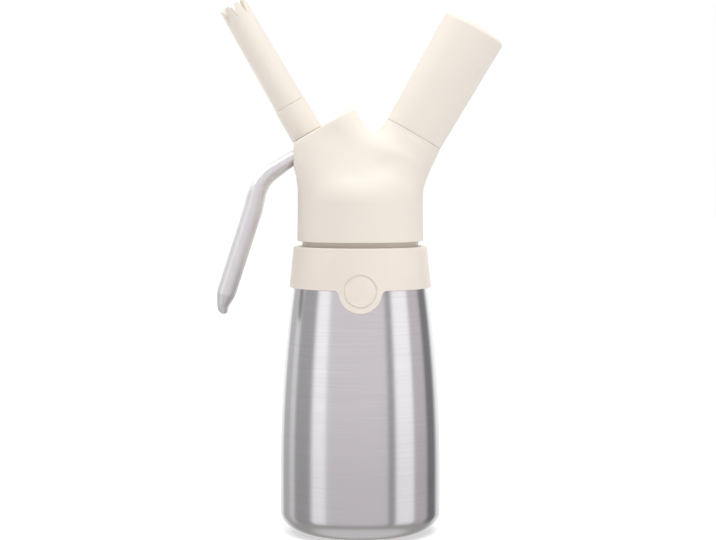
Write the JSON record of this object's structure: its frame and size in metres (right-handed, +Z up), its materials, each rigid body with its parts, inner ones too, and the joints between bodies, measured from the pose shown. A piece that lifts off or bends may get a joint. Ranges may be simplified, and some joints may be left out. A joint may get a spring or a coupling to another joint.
{
  "type": "cream whipper",
  "caption": "Tapered steel bottle with a moulded screw-on head: a lever opens the valve under a slanting nozzle, and a holder opposite takes a gas charger.",
  "frame": {"origin": "centre of the flat foot of the bottle, on the surface it stands on", "axes": "+Z up along the bottle's axis, the nozzle and lever to -X, the charger holder to +X, the collar's tab to the front at -Y"},
  "size_m": [0.1425, 0.08, 0.2657],
  "materials": {
    "bottle_steel": "finely brushed, near polished",
    "cream_plastic": "fine satin moulding",
    "lever_metal": "polished",
    "valve_steel": "turned",
    "spring_steel": "drawn wire",
    "plated_brass": "nickel plated",
    "charger_steel": "zinc plated",
    "cap_foil": "rolled",
    "silicone": "matte, translucent grey",
    "black_rubber": "matte"
  },
  "bodies": {
    "bottle": {"bottle_shell": "bottle_steel", "collar_ring": "cream_plastic"},
    "head_gasket": {"head_gasket": "silicone"},
    "head": {"head_body": "cream_plastic", "lever_pivot_pin": "valve_steel", "stem_o_ring": "black_rubber", "o_ring_retainer": "valve_steel", "piston_spring": "spring_steel", "charger_socket": "plated_brass", "socket_o_ring": "black_rubber", "piercing_pin": "valve_steel", "pin_nut": "valve_steel", "charger_neck_seal": "black_rubber", "non_return_valve": "black_rubber"},
    "lever": {"lever": "lever_metal"},
    "piston": {"piston_stem": "valve_steel", "piston_seal": "silicone", "nozzle_adapter": "cream_plastic"},
    "tip_seal": {"tip_seal": "silicone"},
    "decorator_tip": {"decorator_tip": "cream_plastic"},
    "charger": {"gas_charger": "charger_steel", "charger_cap": "cap_foil"},
    "charger_holder": {"charger_holder": "cream_plastic"}
  },
  "joints": [
    {"name": "head_lift", "type": "slide", "parent": "bottle", "child": "head_gasket", "axis": [0, 0, 1], "range_m": [0, 0.012]},
    {"name": "head_unscrew", "type": "hinge", "parent": "head_gasket", "child": "head", "pos_m": [0, 0, 0], "axis": [0, 0, 1], "range_deg": [0, 1080]},
    {"name": "lever_squeeze", "type": "hinge", "parent": "head", "child": "lever", "pos_m": [-0.00823, 0, 0.20079], "axis": [0, -1, 0], "range_deg": [0, 10], "stiffness_Nm_per_rad": 1.2, "springref_deg": -11.46},
    {"name": "piston_stroke", "type": "slide", "parent": "head", "child": "piston", "axis": [0.5, 0, -0.866], "range_m": [0, 0.003], "deforming": ["piston_spring"]},
    {"name": "tip_lift", "type": "slide", "parent": "piston", "child": "tip_seal", "axis": [-0.5, 0, 0.866], "range_m": [0, 0.0108]},
    {"name": "tip_unscrew", "type": "hinge", "parent": "tip_seal", "child": "decorator_tip", "pos_m": [0, 0, 0.15254], "axis": [-0.5, 0, 0.866], "range_deg": [0, 2160]},
    {"name": "charger_withdraw", "type": "slide", "parent": "head", "child": "charger", "axis": [0.5, 0, 0.866], "range_m": [0, 0.0125]},
    {"name": "holder_unscrew", "type": "hinge", "parent": "charger", "child": "charger_holder", "pos_m": [0, 0, 0.15254], "axis": [0.5, 0, 0.866], "range_deg": [0, 1800]}
  ],
  "couplings": [
    {"joint": "head_lift", "follows": "head_unscrew", "m_per_rad": 0.00063662},
    {"joint": "piston_stroke", "follows": "lever_squeeze", "m_per_rad": 0.017},
    {"joint": "tip_lift", "follows": "tip_unscrew", "m_per_rad": 0.00028648},
    {"joint": "charger_withdraw", "follows": "holder_unscrew", "m_per_rad": 0.00039789}
  ]
}
